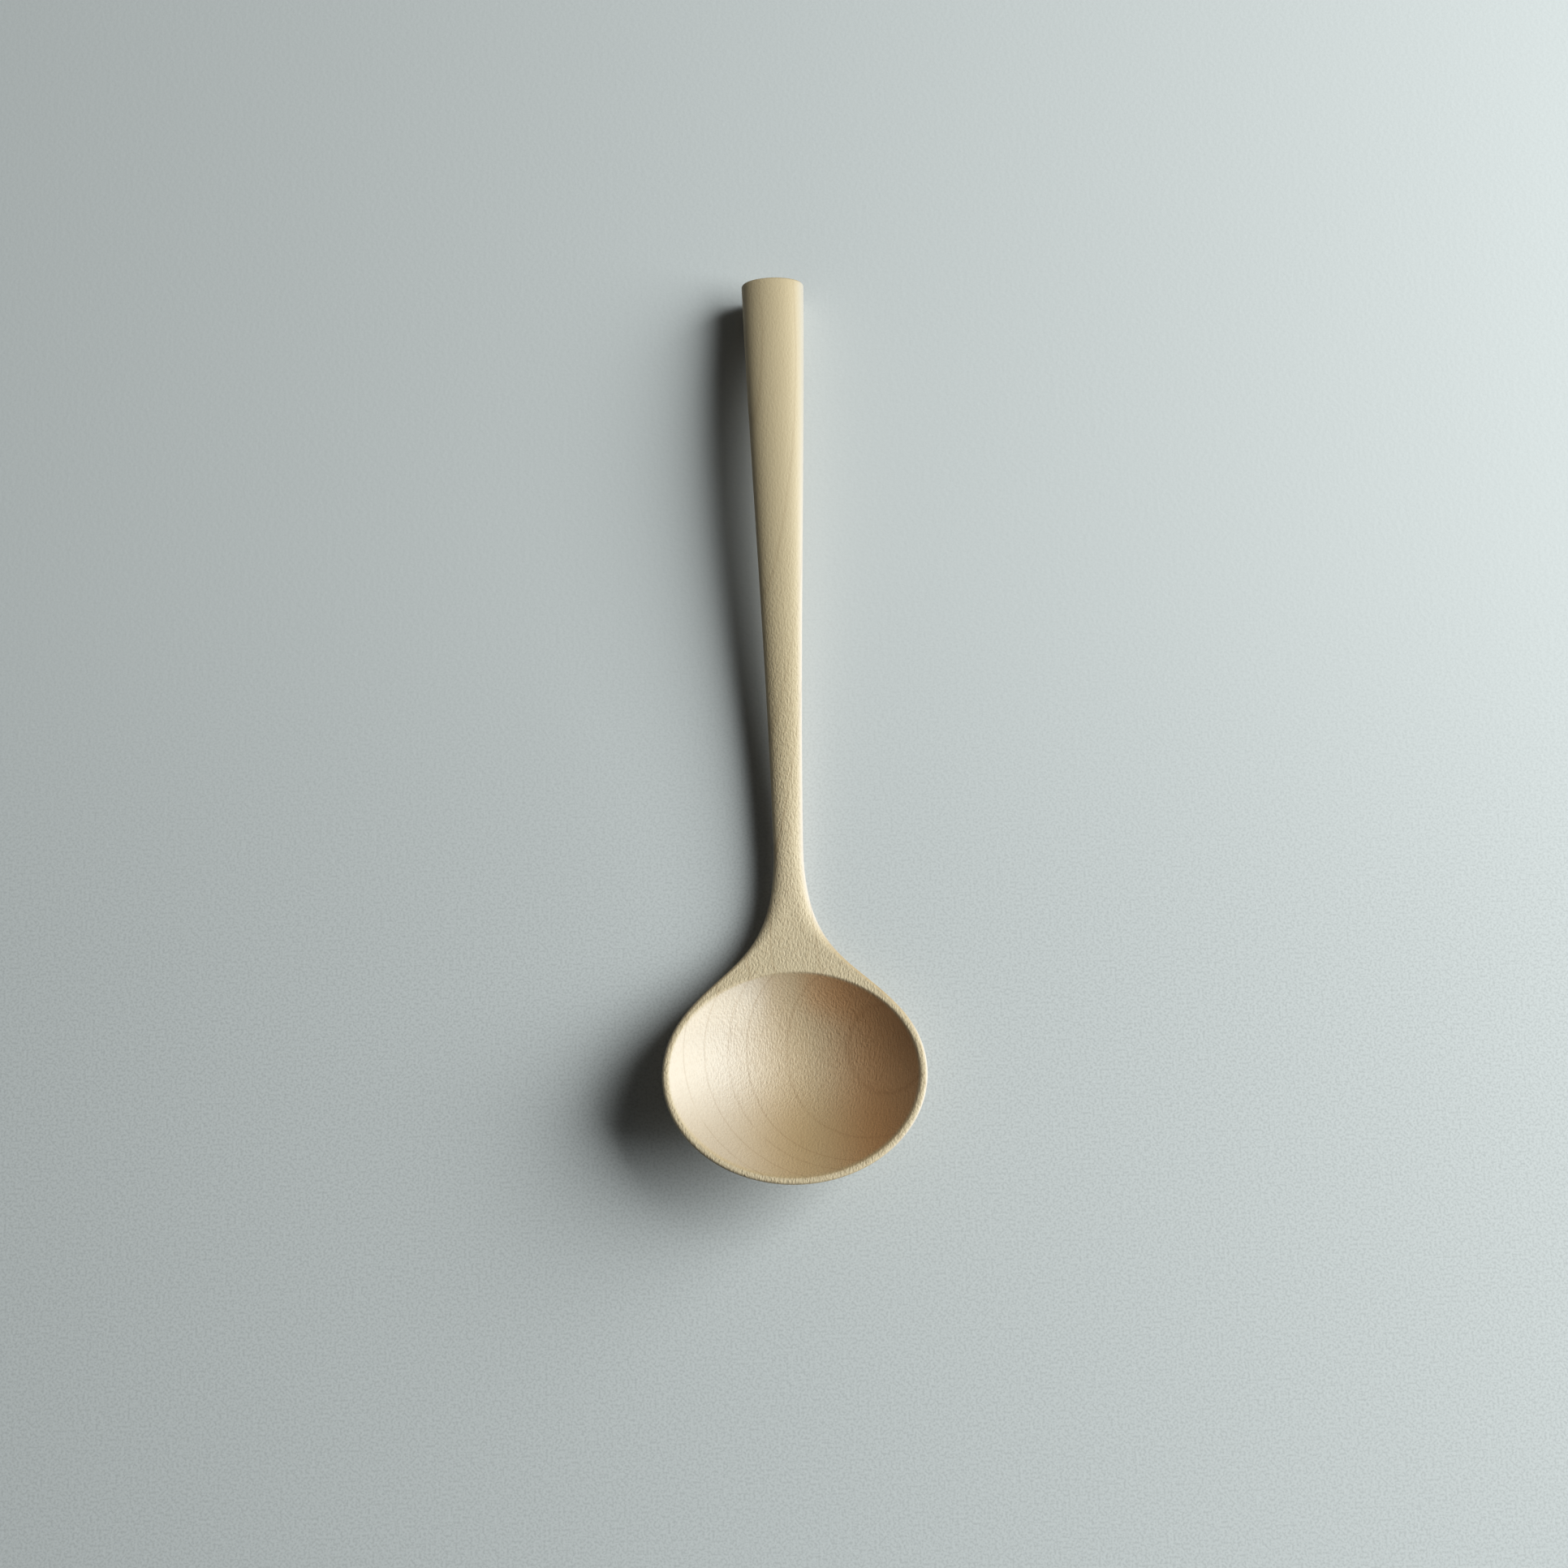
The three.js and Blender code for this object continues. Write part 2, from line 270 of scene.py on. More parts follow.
class FlatBlank:
    """Plan of the spoon as a net of points: hollow, rim strip, web and handle."""

    def __init__(self):
        self.points = []
        self.faces = []
        self.on_outline = []

    def add(self, x, y, on_outline=False):
        self.points.append((x, y))
        self.on_outline.append(on_outline)
        return len(self.points) - 1

    def skin(self, near, far):
        """Faces between two rows of points, near's on the right as it runs on."""
        for i in range(len(near) - 1):
            self.faces.append((near[i], far[i], far[i + 1], near[i + 1]))

    def hollow(self):
        """Rings from the bowl's middle out to the edge of the hollow."""
        back = np.linspace(pi - SHOULDER_ANGLE, SHOULDER_ANGLE, NECK_SPOKES + 1)
        front = np.linspace(SHOULDER_ANGLE, -pi - SHOULDER_ANGLE, FRONT_SPOKES + 1)
        self.turns = np.r_[back[:-1], front[:-1]]
        middle = self.add(0, bowl_y)
        previous = None
        for ring in range(1, HOLLOW_RINGS + 1):
            reach = 1 - (1 - ring / HOLLOW_RINGS) ** RING_CROWDING
            wide = reach * hollow_half_width
            long = reach * hollow_half_length
            row = [self.add(wide * cos(turn), bowl_y + long * sin(turn)) for turn in self.turns]
            row.append(row[0])
            if previous is None:
                self.faces += [(middle, row[i + 1], row[i]) for i in range(len(row) - 1)]
            else:
                self.skin(row, previous)
            previous = row
        self.edge = previous

    def rim(self):
        """Strip between the hollow and the outline, round the front of the bowl."""
        shares = [(1 - cos(pi * j / RIM_STEPS)) / 2 for j in range(1, RIM_STEPS + 1)]
        spokes = range(NECK_SPOKES, NECK_SPOKES + FRONT_SPOKES + 1)
        self.strips = []
        for spoke in spokes:
            angle = self.turns[spoke % len(self.turns)]
            strip = [self.edge[spoke]]
            for share in shares:
                x = lerp(hollow_half_width, oval_half_width, share) * cos(angle)
                y = bowl_y + lerp(hollow_half_length, oval_half_length, share) * sin(angle)
                strip.append(self.add(x, y, share == 1))
            self.strips.append(strip)
        for near, far in zip(self.strips, self.strips[1:]):
            self.skin(near, far)

    def web_and_handle(self):
        """Rows from the back of the hollow up the web and along the handle."""
        left = self.strips[-1][::-1]
        right = self.strips[0]
        row = left + self.edge[1:NECK_SPOKES] + right
        count = len(row)
        across = np.linspace(0, 1, count)
        spread = np.sin(pi / 2 * (2 * across - 1))
        base_x, base_y = np.array([self.points[i] for i in row]).T
        base_spread = base_x / plan_half_width(base_y)
        for step in range(1, SHOULDER_ROWS + 1):
            share = (step / SHOULDER_ROWS) ** ROW_CROWDING
            y = lerp(base_y, neck_y, share)
            x = lerp(base_spread, spread, share) * plan_half_width(y)
            row = self.next_row(row, np.c_[x, y])
        straight_end = end_y - END_EASE
        for step in range(1, HANDLE_ROWS + 1):
            y = lerp(neck_y, straight_end, step / HANDLE_ROWS)
            row = self.next_row(row, np.c_[spread * half_width(y), np.full(count, y)])
        for step in range(1, EASE_ROWS + 1):
            turn = pi / 2 * (1 - step / EASE_ROWS)
            y = end_y - END_EASE * (1 - cos(turn))
            side = half_width(y) - END_EASE * (1 - sin(turn))
            row = self.next_row(row, np.c_[spread * side, np.full(count, y)])
        self.end_row = row

    def next_row(self, row, net):
        last = len(net) - 1
        fresh = [self.add(x, y, i in (0, last)) for i, (x, y) in enumerate(net)]
        self.skin(fresh, row)
        return fresh


def close_blank(flat):
    """Upper sheet, lower sheet and end face as one net; lift is 1 above and 0 below."""
    points = list(flat.points)
    lift = [1.0] * len(points)
    below = list(range(len(points)))
    for i, point in enumerate(flat.points):
        if not flat.on_outline[i]:
            below[i] = len(points)
            points.append(point)
            lift.append(0.0)
    faces = flat.faces + [tuple(below[i] for i in reversed(face)) for face in flat.faces]

    near = flat.end_row
    for step in range(1, END_FACE_ROWS + 1):
        far = []
        for top in flat.end_row:
            if flat.on_outline[top] or step == END_FACE_ROWS:
                far.append(below[top])
                continue
            far.append(len(points))
            points.append(flat.points[top])
            lift.append(1 - step / END_FACE_ROWS)
        for a, b, c, d in zip(near, far, far[1:], near[1:]):
            corners = tuple(dict.fromkeys((d, c, b, a)))
            if len(corners) > 2:
                faces.append(corners)
        near = far
    return points, faces, lift


def carving_marks(x, y, lift):
    """The carver's lines: how high, how round and how deep the wood is at each point."""
    eased = np.clip(1 - (end_y - y) / END_EASE, 0, 1)
    inset = END_EASE * (1 - np.sqrt(1 - eased * eased))
    width = half_width(y)
    across = np.clip(np.abs(x) / np.maximum(width - inset, TINY), 0, 1)
    edge = top_line(y) - crown_drop(y)
    spread = np.where(y >= join_y, round_width(y, width), rim_round)
    gap = np.where(y >= neck_y, width * (1 - across), edge_gap(x, y))
    belly = np.where(y > bowl_y, 1 - across * across, oval_fullness(x, y))
    on_oval = (y > bowl_y) & (y < join_y)
    belly = np.where(on_oval, 1 - (x / oval_chord(y)) ** 2, belly)
    front = y <= bowl_y
    reach = np.hypot(x / hollow_half_width, (y - bowl_y) / hollow_half_length)
    return {
        "lift": lift,
        "edge_height": edge + neck_roll(x, y),
        "crown": top_line(y) - inset - edge,
        "crown_share": np.clip(1 - gap / np.maximum(spread, TINY), 0, 1),
        "crown_power": crown_power(y),
        "rim_height": rim_line(y),
        "hollow_reach": reach,
        "belly_fall": np.where(front, belly_depth, edge - keel_line(y) - inset),
        "belly_share": np.clip(belly, 0, 1),
        "belly_power": np.where(front, BOWL_UNDER_POWER, under_power(y)) / 2,
        "end_lean": tan(END_LEAN) * np.maximum(0, 1 - handle_share(y) / LEAN_REACH) ** 2,
        "dished": lift * (1 - smoothstep(reach, HOLLOW_BRINK, 1.0)),
    }


def marked_blank():
    """Blank with the carver's lines marked on it as named values at every point."""
    flat = FlatBlank()
    flat.hollow()
    flat.rim()
    flat.web_and_handle()
    points, faces, lift = close_blank(flat)
    x, y = np.array(points).T
    mesh = bpy.data.meshes.new("spoon_blank")
    mesh.from_pydata(np.c_[x * MM, y * MM, 0 * x].tolist(), [], faces)
    for name, values in carving_marks(x, y, np.array(lift)).items():
        mark = mesh.attributes.new(name, "FLOAT", "POINT")
        mark.data.foreach_set("value", values.astype(np.float32))
    return mesh


class Graph:
    """Short way to place and join the nodes of one tree."""

    def __init__(self, tree):
        self.tree = tree

    def add(self, kind, **settings):
        node = self.tree.nodes.new(kind)
        for name, value in settings.items():
            setattr(node, name, value)
        return node

    def feed(self, socket, value):
        if isinstance(value, bpy.types.NodeSocket):
            self.tree.links.new(value, socket)
        else:
            socket.default_value = value

    def math(self, operation, *values):
        node = self.add("ShaderNodeMath", operation=operation)
        for socket, value in zip(node.inputs, values):
            self.feed(socket, value)
        return node.outputs[0]

    def split(self, vector):
        node = self.add("ShaderNodeSeparateXYZ")
        self.feed(node.inputs["Vector"], vector)
        return node.outputs

    def mark(self, name):
        node = self.add("GeometryNodeInputNamedAttribute", data_type="FLOAT")
        node.inputs["Name"].default_value = name
        return node.outputs["Attribute"]


def carving_tree(maple):
    """Tree that carves the marked blank: crowned top, dished bowl, round back, cut end."""
    tree = bpy.data.node_groups.new("carve_spoon", "GeometryNodeTree")
    sizes = ("Bowl Depth", "Hollow Fullness", "Hollow Ease", "End Face Top")
    tree.interface.new_socket("Blank", in_out="INPUT", socket_type="NodeSocketGeometry")
    for name in sizes:
        tree.interface.new_socket(name, in_out="INPUT", socket_type="NodeSocketFloat")
    tree.interface.new_socket("Spoon", in_out="OUTPUT", socket_type="NodeSocketGeometry")
    g = Graph(tree)
    given = g.add("NodeGroupInput").outputs
    made = g.add("NodeGroupOutput").inputs

    edge = g.mark("edge_height")
    lower = g.math("POWER", g.mark("crown_share"), g.mark("crown_power"))
    arch = g.math("SQRT", g.math("SUBTRACT", 1.0, lower))
    crowned = g.math("MULTIPLY_ADD", g.mark("crown"), arch, edge)

    square = g.math("MULTIPLY", g.mark("hollow_reach"), g.mark("hollow_reach"))
    dish = g.math("MULTIPLY", given["Bowl Depth"], g.math("SUBTRACT", 1.0, square))
    fuller = g.math("MULTIPLY_ADD", given["Hollow Fullness"], square, 1.0)
    hollow = g.math("SUBTRACT", g.mark("rim_height"), g.math("MULTIPLY", dish, fuller))
    upper = g.math("SMOOTH_MIN", crowned, hollow, given["Hollow Ease"])

    round_back = g.math("POWER", g.mark("belly_share"), g.mark("belly_power"))
    under = g.math("SUBTRACT", edge, g.math("MULTIPLY", g.mark("belly_fall"), round_back))
    sole = g.math("MAXIMUM", under, 0.0)

    rise = g.math("SUBTRACT", upper, sole)
    height = g.math("MULTIPLY_ADD", rise, g.mark("lift"), sole)
    above_face = g.math("SUBTRACT", height, given["End Face Top"])
    push = g.math("MULTIPLY", g.mark("end_lean"), above_face)

    offset = g.add("ShaderNodeCombineXYZ")
    g.feed(offset.inputs["Y"], g.math("MULTIPLY", push, MM))
    g.feed(offset.inputs["Z"], g.math("MULTIPLY", height, MM))
    shaped = g.add("GeometryNodeSetPosition")
    g.feed(shaped.inputs["Geometry"], given["Blank"])
    g.feed(shaped.inputs["Offset"], offset.outputs["Vector"])
    smooth = g.add("GeometryNodeSetShadeSmooth")
    g.feed(smooth.inputs["Geometry"], shaped.outputs["Geometry"])
    whole = g.add("GeometryNodeRealizeInstances")
    g.feed(whole.inputs["Geometry"], smooth.outputs["Geometry"])
    finished = g.add("GeometryNodeSetMaterial")
    g.feed(finished.inputs["Geometry"], whole.outputs["Geometry"])
    finished.inputs["Material"].default_value = maple
    g.feed(made["Spoon"], finished.outputs["Geometry"])
    return tree


def carved_spoon(maple):
    """The spoon as one plain mesh."""
    blank = bpy.data.objects.new("spoon_blank", marked_blank())
    bpy.context.collection.objects.link(blank)
    tree = carving_tree(maple)
    carve = blank.modifiers.new("carve", "NODES")
    carve.node_group = tree
    sizes = {
        "Bowl Depth": BOWL_DEPTH,
        "Hollow Fullness": HOLLOW_FULLNESS,
        "Hollow Ease": HOLLOW_EASE,
        "End Face Top": END_THICKNESS - FACE_TOP_EASE * END_EASE,
    }
    for socket in tree.interface.items_tree:
        if socket.name in sizes:
            carve[socket.identifier] = sizes[socket.name]
    depsgraph = bpy.context.evaluated_depsgraph_get()
    mesh = bpy.data.meshes.new_from_object(blank.evaluated_get(depsgraph))
    mesh.name = "carved_spoon"
    blank.modifiers.remove(carve)
    bpy.data.objects.remove(blank)
    spoon = bpy.data.objects.new("carved_spoon", mesh)
    bpy.context.collection.objects.link(spoon)
    return spoon


# Growth layers: how they lie in the blank, and where the line of each year meets the table
LAYER_LEAN = 0.681
LAYER_BEND = 0.0504
LAYER_RUN = 0.1265
LAYER_START = -64.0
LAYER_RANGE = (-40.0, 20.0)
YEAR_LINES = (-29.5, -22.4, -16.0, -11.4, -3.1, 6.3)
LINE_LATE_SIDE = 0.45
LINE_EARLY_SIDE = 0.22
LINE_ON_HANDLE = 0.30
LINE_ON_WEB = 0.50
LINE_IN_HOLLOW = 0.44
SLOW_WAVE = 1.0
QUICK_WAVE = 0.4
GRAIN_TURN = radians(-4)

# Colours of the finished wood, as plain light reflectance, with painted highlight and painted shade
# colours among them
WEB_WOOD = (0.577, 0.460, 0.308)
HANDLE_WOOD = (0.540, 0.424, 0.268)
# Whiter colours for the right flank, which faces the window: a painted highlight.
NECK_FLANK_HIGHLIGHT = (0.575, 0.498, 0.440)
END_FLANK_HIGHLIGHT = (0.450, 0.396, 0.335)
# Bowl colours: whiter on the lit left wall, a painted highlight on the back-left, deep orange
# painted shade on the right wall.
LIT_SIDE_COLOUR = (0.580, 0.490, 0.408)
HIGHLIGHT_COLOUR = (0.715, 0.612, 0.510)
MIDDLE_WOOD = (0.618, 0.467, 0.302)
SHADED_SIDE_COLOUR = (0.660, 0.370, 0.185)
# Darker, warmer tint on faces looking towards the handle's end: end grain on the cut end, painted
# shade on the bowl's front wall.
END_GRAIN_AND_SHADE_TINT = (0.730, 0.650, 0.525)
YEAR_LINE_TINT = (0.640, 0.560, 0.480)
FLECK_TINT = (0.800, 0.740, 0.680)

# Places in millimetres where one colour gives way to the next, the painted light and shade of the
# bowl among them
LIT_SIDE_PLACE = -14.0
MIDDLE_PLACE = 2.5
SHADED_SIDE_PLACE = 15.5
HIGHLIGHT_SIDE = (-3.0, -9.0)
SHADE_SHIFT_SIDE = (-4.0, 4.0)
BACK_WALL_SHADE_SHIFT = 6.0
HANDLE_RUN = (-34.0, 1.0)
FLANK_RUN = (10.0, 66.0)
FLECK_RUN = (-25.0, 45.0)

# Which way a face has to look for a colour or for painted light and shade, as one part of its
# outward direction
BACK_WALL = (0.0, -0.5)
END_GRAIN_AND_SHADE_FACING = (0.25, 0.75)
RIGHT_FLANK = (0.30, 0.85)
FLAT_TOP = (0.70, 0.96)

# Fineness of the figure per millimetre, across the grain, along it and through the board
SLOW_WAVE_FINENESS = (0.06, 0.02, 0.06)
SLOW_WAVE_DETAIL = 2.0
QUICK_WAVE_FINENESS = (0.4, 0.08, 0.4)
FADING_FINENESS = (0.3, 0.06, 0.3)
CLOUD_FINENESS = (0.16, 0.035, 0.16)
CLOUD_DETAIL = 3.0
STREAK_FINENESS = (1.3, 0.05, 1.3)
STREAK_DETAIL = 2.0
DASH_FINENESS = (3.0, 1.3, 3.0)
STIPPLE_FINENESS = (2.8, 2.8, 2.8)
NOISE_MIDDLE = 0.5

# Strength of the figure, relief of the flecks in millimetres, and gleam of the satin oil
FADING_CUT = (0.1, 0.5)
FLECK_CUT = (0.45, 0.65)
FLECK_STRENGTH = 0.42
FLECK_RELIEF = 0.19
FLECKS_FAINT = 0.25
FLECKS_ON_WALLS = 0.45
STIPPLE_SHARE = 0.5
CLOUD_STRENGTH = 0.14
STREAK_STRENGTH = 0.10
END_GRAIN_AND_SHADE_ON_LIT_SIDE = 0.68
SURFACE_ROUGHNESS = 0.55
SURFACE_GLEAM = 0.48
OIL_IOR = 1.5


class Finish(Graph):
    """Nodes of one material, with its places in millimetres."""

    def __init__(self, name):
        self.material = bpy.data.materials.new(name)
        self.material.use_nodes = True
        super().__init__(self.material.node_tree)
        self.surface = self.tree.nodes["Principled BSDF"]
        metric = self.add("ShaderNodeMapping")
        self.feed(metric.inputs["Vector"], self.add("ShaderNodeTexCoord").outputs["Object"])
        metric.inputs["Scale"].default_value = (1 / MM, 1 / MM, 1 / MM)
        self.place = metric.outputs["Vector"]
        self.parts = self.split(self.place)

    def give(self, name, value):
        self.feed(self.surface.inputs[name], value)

    def noise(self, place, fineness, detail=1.0):
        """Soft noise from 0 to 1, with its own fineness along each axis."""
        fit = self.add("ShaderNodeMapping")
        self.feed(fit.inputs["Vector"], place)
        fit.inputs["Scale"].default_value = fineness
        grain = self.add("ShaderNodeTexNoise")
        self.feed(grain.inputs["Vector"], fit.outputs["Vector"])
        grain.inputs["Scale"].default_value = 1.0
        grain.inputs["Detail"].default_value = detail
        return grain.outputs["Fac"]

    def step(self, value, low, high, first=0.0, last=1.0):
        """Smooth step from first to last while value goes from low to high."""
        node = self.add("ShaderNodeMapRange", interpolation_type="SMOOTHSTEP")
        given = {"Value": value, "From Min": low, "From Max": high, "To Min": first, "To Max": last}
        for name, number in given.items():
            self.feed(node.inputs[name], number)
        return node.outputs["Result"]

    def mix(self, kind, share, first, second):
        node = self.add("ShaderNodeMix", data_type="RGBA", blend_type=kind)
        self.feed(node.inputs["Factor"], share)
        sockets = {socket.identifier: socket for socket in [*node.inputs, *node.outputs]}
        for name, colour in (("A_Color", first), ("B_Color", second)):
            plain = not isinstance(colour, bpy.types.NodeSocket)
            self.feed(sockets[name], (*colour, 1.0) if plain else colour)
        return sockets["Result_Color"]

    def blend(self, share, first, second):
        return self.mix("MIX", share, first, second)

    def tint(self, share, colour, tint):
        return self.mix("MULTIPLY", share, colour, tint)

    def relief(self, depth, height, strength=1.0):
        """Bumps in the surface, depth millimetres high where height goes from 0 to 1."""
        bump = self.add("ShaderNodeBump")
        bump.inputs["Distance"].default_value = depth * MM
        self.feed(bump.inputs["Strength"], strength)
        self.feed(bump.inputs["Height"], height)
        self.give("Normal", bump.outputs["Normal"])


class MapleFinish(Finish):
    """Pale maple under satin oil: year lines, short flecks along the grain, warm end grain, with
    painted highlights and painted shade on the flank and in the bowl.
    """

    def __init__(self):
        super().__init__("oiled_maple")
        turned = self.add("ShaderNodeMapping", vector_type="TEXTURE")
        self.feed(turned.inputs["Vector"], self.place)
        turned.inputs["Rotation"].default_value = (0.0, 0.0, GRAIN_TURN)
        self.grain = turned.outputs["Vector"]
        self.faces = self.split(self.add("ShaderNodeTexCoord").outputs["Normal"])
        self.dished = self.add("ShaderNodeAttribute", attribute_name="dished").outputs["Fac"]
        self.onto_handle = self.step(self.parts["Y"], *HANDLE_RUN)

    def outside(self):
        """Web, rim and handle, with a whiter painted highlight on the right flank, which faces the
        window.
        """
        top = self.blend(self.onto_handle, WEB_WOOD, HANDLE_WOOD)
        onto_end = self.step(self.parts["Y"], *FLANK_RUN)
        flank = self.blend(onto_end, NECK_FLANK_HIGHLIGHT, END_FLANK_HIGHLIGHT)
        return self.blend(self.step(self.faces["X"], *RIGHT_FLANK), top, flank)

    def hollow(self):
        """Painted light and shade across the bowl: whiter on the lit left wall with a painted
        highlight on the back-left, deep orange painted shade on the right wall, reaching further
        onto the back wall.
        """
        across = self.parts["X"]
        colour = self.blend(self.step(across, LIT_SIDE_PLACE, MIDDLE_PLACE), LIT_SIDE_COLOUR, MIDDLE_WOOD)
        back_wall = self.step(self.faces["Y"], *BACK_WALL)
        shift = self.math("MULTIPLY", back_wall, BACK_WALL_SHADE_SHIFT)
        toward_shade = self.math("MULTIPLY_ADD", shift, self.step(across, *SHADE_SHIFT_SIDE), across)
        colour = self.blend(self.step(toward_shade, MIDDLE_PLACE, SHADED_SIDE_PLACE), colour, SHADED_SIDE_COLOUR)
        pale = self.math("MULTIPLY", back_wall, self.step(across, *HIGHLIGHT_SIDE))
        return self.blend(pale, colour, HIGHLIGHT_COLOUR)

    def with_end_grain_and_shade(self, colour):
        """Darker and warmer on faces that look towards the handle's end: end grain where the fibres
        are cut across, and painted shade on the bowl's front wall; least so on the lit left side.
        """
        toward_shade = self.step(self.parts["X"], LIT_SIDE_PLACE, MIDDLE_PLACE, END_GRAIN_AND_SHADE_ON_LIT_SIDE, 1.0)
        share = self.math("MULTIPLY", self.step(self.faces["Y"], *END_GRAIN_AND_SHADE_FACING), toward_shade)
        return self.tint(share, colour, END_GRAIN_AND_SHADE_TINT)

    def with_clouds(self, colour):
        """Soft clouds and long streaks."""
        clouds = self.noise(self.grain, CLOUD_FINENESS, CLOUD_DETAIL)
        streaks = self.noise(self.grain, STREAK_FINENESS, STREAK_DETAIL)
        for figure, strength in ((clouds, CLOUD_STRENGTH), (streaks, STREAK_STRENGTH)):
            colour = self.tint(self.math("MULTIPLY", figure, strength), colour, YEAR_LINE_TINT)
        return colour

    def with_flecks(self, colour):
        """Short flecks, in colour and in relief, fading along the handle and on steep walls."""
        dashes = self.noise(self.grain, DASH_FINENESS)
        stipple = self.noise(self.grain, STIPPLE_FINENESS)
        both = self.math("MULTIPLY_ADD", stipple, STIPPLE_SHARE, dashes)
        flecks = self.math("DIVIDE", both, 1 + STIPPLE_SHARE)
        along = self.step(self.parts["Y"], *FLECK_RUN, 1.0, FLECKS_FAINT)
        steep = self.step(self.faces["Z"], *FLAT_TOP, FLECKS_ON_WALLS, 1.0)
        faint = self.math("MULTIPLY", along, steep)
        self.relief(FLECK_RELIEF, flecks, faint)
        share = self.math("MULTIPLY", self.step(flecks, *FLECK_CUT), FLECK_STRENGTH)
        return self.tint(self.math("MULTIPLY", share, faint), colour, FLECK_TINT)

    def layer(self):
        """Growth layer of a point, named by where it would cross the table under the bowl."""
        rise = self.math("MULTIPLY_ADD", self.parts["Z"], LAYER_BEND, LAYER_LEAN)
        level = self.math("SUBTRACT", self.parts["X"], self.math("MULTIPLY", self.parts["Z"], rise))
        run = self.math("MULTIPLY", self.math("SUBTRACT", self.parts["Y"], LAYER_START), LAYER_RUN)
        slow = self.noise(self.grain, SLOW_WAVE_FINENESS, SLOW_WAVE_DETAIL)
        slow = self.math("SUBTRACT", slow, NOISE_MIDDLE)
        quick = self.math("SUBTRACT", self.noise(self.grain, QUICK_WAVE_FINENESS), NOISE_MIDDLE)
        waved = self.math("MULTIPLY_ADD", slow, SLOW_WAVE, self.math("SUBTRACT", level, run))
        return self.math("MULTIPLY_ADD", quick, QUICK_WAVE, waved)

    def year_lines(self):
        """1 on each year line, fading quickly on its early side and slowly on its late side."""
        low, high = LAYER_RANGE
        stops = []
        for year in YEAR_LINES:
            stops += [(year - LINE_EARLY_SIDE, 0.0), (year, 1.0), (year + LINE_LATE_SIDE, 0.0)]
        node = self.add("ShaderNodeValToRGB")
        share = self.math("DIVIDE", self.math("SUBTRACT", self.layer(), low), high - low)
        self.feed(node.inputs["Fac"], share)
        elements = node.color_ramp.elements
        while len(elements) < len(stops):
            elements.new(0.5)
        for element, (place, level) in zip(elements, stops):
            element.position = (place - low) / (high - low)
            element.color = (level, level, level, 1.0)
        return node.outputs["Color"]

    def with_year_lines(self, colour):
        fall = LINE_ON_HANDLE - LINE_ON_WEB
        strength = self.math("MULTIPLY_ADD", self.onto_handle, fall, LINE_ON_WEB)
        strength = self.step(self.dished, 0.0, 1.0, strength, LINE_IN_HOLLOW)
        fading = self.step(self.noise(self.grain, FADING_FINENESS), *FADING_CUT)
        lines = self.math("MULTIPLY", self.year_lines(), strength)
        return self.tint(self.math("MULTIPLY", lines, fading), colour, YEAR_LINE_TINT)


def maple_finish():
    wood = MapleFinish()
    colour = wood.blend(wood.dished, wood.outside(), wood.hollow())
    colour = wood.with_end_grain_and_shade(colour)
    colour = wood.with_clouds(colour)
    colour = wood.with_flecks(colour)
    colour = wood.with_year_lines(colour)
    wood.give("Base Color", colour)
    wood.give("Roughness", SURFACE_ROUGHNESS)
    wood.give("Specular IOR Level", SURFACE_GLEAM)
    wood.give("IOR", OIL_IOR)
    return wood.material


# Table: its lacquer, the specks in it and its orange-peel skin, in millimetres
TABLE_GREY = (0.555, 0.561, 0.570)
TABLE_ROUGHNESS = 0.62
TABLE_IOR = 1.4
SPECK_TINT = (0.700, 0.700, 0.700)
SPECK_FINENESS = (2.4, 2.4, 2.4)
SPECK_CUT = (0.40, 0.68)
SPECK_RUN = (40.0, -60.0)
SPECK_FAINT = 0.10
SPECK_STRENGTH = 0.50
PEEL_FINENESS = (1.1, 1.1, 1.1)
PEEL_RELIEF = 0.02

# Reach of the table, light and camera, in metres, degrees and watts
TABLE_HALF = 6.0
WINDOW_DISTANCE = 1.15
WINDOW_HEIGHT_ANGLE = 31.0
WINDOW_SIDE_ANGLE = 7.0
WINDOW_WIDTH = 1.1
WINDOW_HEIGHT = 0.8
WINDOW_POWER = 29.7
WINDOW_TINT = (0.92, 1.0, 0.98)
WINDOW_FACES = Vector((0.0, -0.45, 0.0))
ROOM_LIGHT = 0.042
ROOM_TINT = (0.95, 1.0, 0.95)
SPOON_MIDDLE = Vector((0.0, -0.03, 0.0))
CAMERA_PLACE = Vector((-0.00045, -0.0576, 0.2839))
CAMERA_PITCH = 9.0
CAMERA_ROLL = -1.61
CAMERA_LENS = 36.05
CAMERA_SENSOR = 36.0


def table_finish():
    """Pale grey lacquer with a faint orange-peel skin and fine specks."""
    lacquer = Finish("pale_table")
    specks = lacquer.step(lacquer.noise(lacquer.place, SPECK_FINENESS), *SPECK_CUT)
    strong = lacquer.step(lacquer.parts["Y"], *SPECK_RUN, SPECK_FAINT, SPECK_STRENGTH)
    share = lacquer.math("MULTIPLY", specks, strong)
    lacquer.give("Base Color", lacquer.tint(share, TABLE_GREY, SPECK_TINT))
    lacquer.give("Roughness", TABLE_ROUGHNESS)
    lacquer.give("IOR", TABLE_IOR)
    lacquer.relief(PEEL_RELIEF, lacquer.noise(lacquer.place, PEEL_FINENESS))
    return lacquer.material


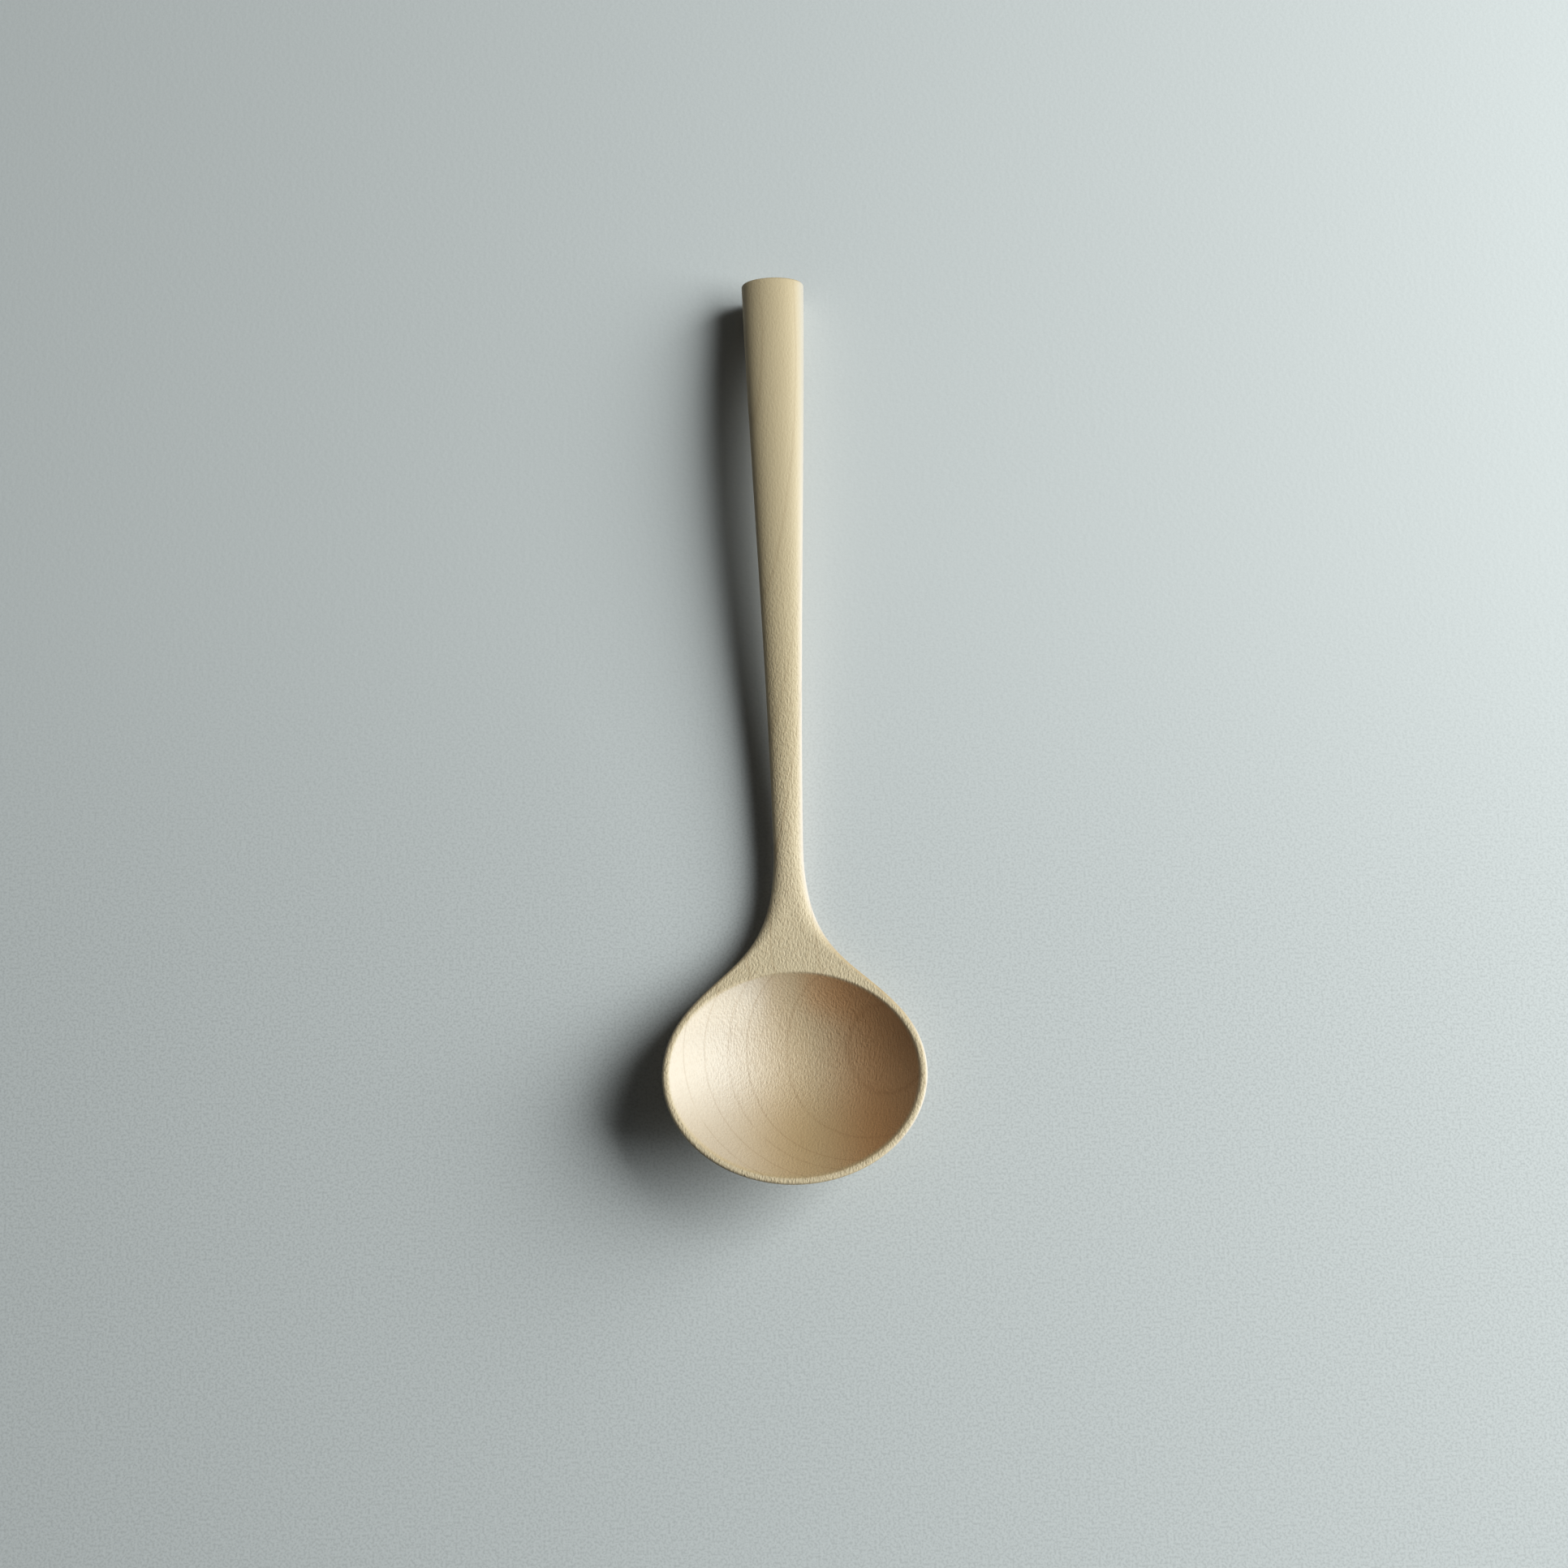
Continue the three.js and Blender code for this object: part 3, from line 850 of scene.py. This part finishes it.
def lay_table():
    corners = [(-TABLE_HALF, -TABLE_HALF, 0), (TABLE_HALF, -TABLE_HALF, 0)]
    corners += [(TABLE_HALF, TABLE_HALF, 0), (-TABLE_HALF, TABLE_HALF, 0)]
    mesh = bpy.data.meshes.new("table_top")
    mesh.from_pydata(corners, [], [(0, 1, 2, 3)])
    mesh.materials.append(table_finish())
    table = bpy.data.objects.new("table_top", mesh)
    bpy.context.collection.objects.link(table)


def hang_window():
    """One wide soft window on the right."""
    rise = radians(WINDOW_HEIGHT_ANGLE)
    side = radians(WINDOW_SIDE_ANGLE)
    towards = Vector((cos(rise) * cos(side), cos(rise) * sin(side), sin(rise)))
    lamp = bpy.data.lights.new("window", "AREA")
    lamp.shape = "RECTANGLE"
    lamp.size = WINDOW_WIDTH
    lamp.size_y = WINDOW_HEIGHT
    lamp.energy = WINDOW_POWER
    lamp.color = WINDOW_TINT
    window = bpy.data.objects.new("window", lamp)
    window.location = SPOON_MIDDLE + towards * WINDOW_DISTANCE
    facing = WINDOW_FACES - window.location
    window.rotation_euler = facing.to_track_quat("-Z", "Y").to_euler()
    bpy.context.collection.objects.link(window)


def light_room():
    """A weak even light from the room."""
    world = bpy.data.worlds.new("room")
    world.use_nodes = True
    glow = world.node_tree.nodes["Background"]
    glow.inputs["Color"].default_value = (*ROOM_TINT, 1.0)
    glow.inputs["Strength"].default_value = ROOM_LIGHT
    bpy.context.scene.world = world


def set_camera():
    """Looking down on the spoon, tipped a little towards the end of the handle."""
    lens = bpy.data.cameras.new("overhead")
    lens.lens = CAMERA_LENS
    lens.sensor_width = CAMERA_SENSOR
    camera = bpy.data.objects.new("overhead", lens)
    camera.location = CAMERA_PLACE
    tip = Matrix.Rotation(radians(CAMERA_PITCH), 3, "X")
    turn = Matrix.Rotation(radians(CAMERA_ROLL), 3, "Z")
    camera.rotation_euler = (tip @ turn).to_euler()
    bpy.context.collection.objects.link(camera)
    bpy.context.scene.camera = camera


set_camera()
lay_table()
hang_window()
light_room()
spoon = carved_spoon(maple_finish())
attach(spoon, "root")
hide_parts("spoon")
bpy.context.scene.view_settings.view_transform = "Standard"
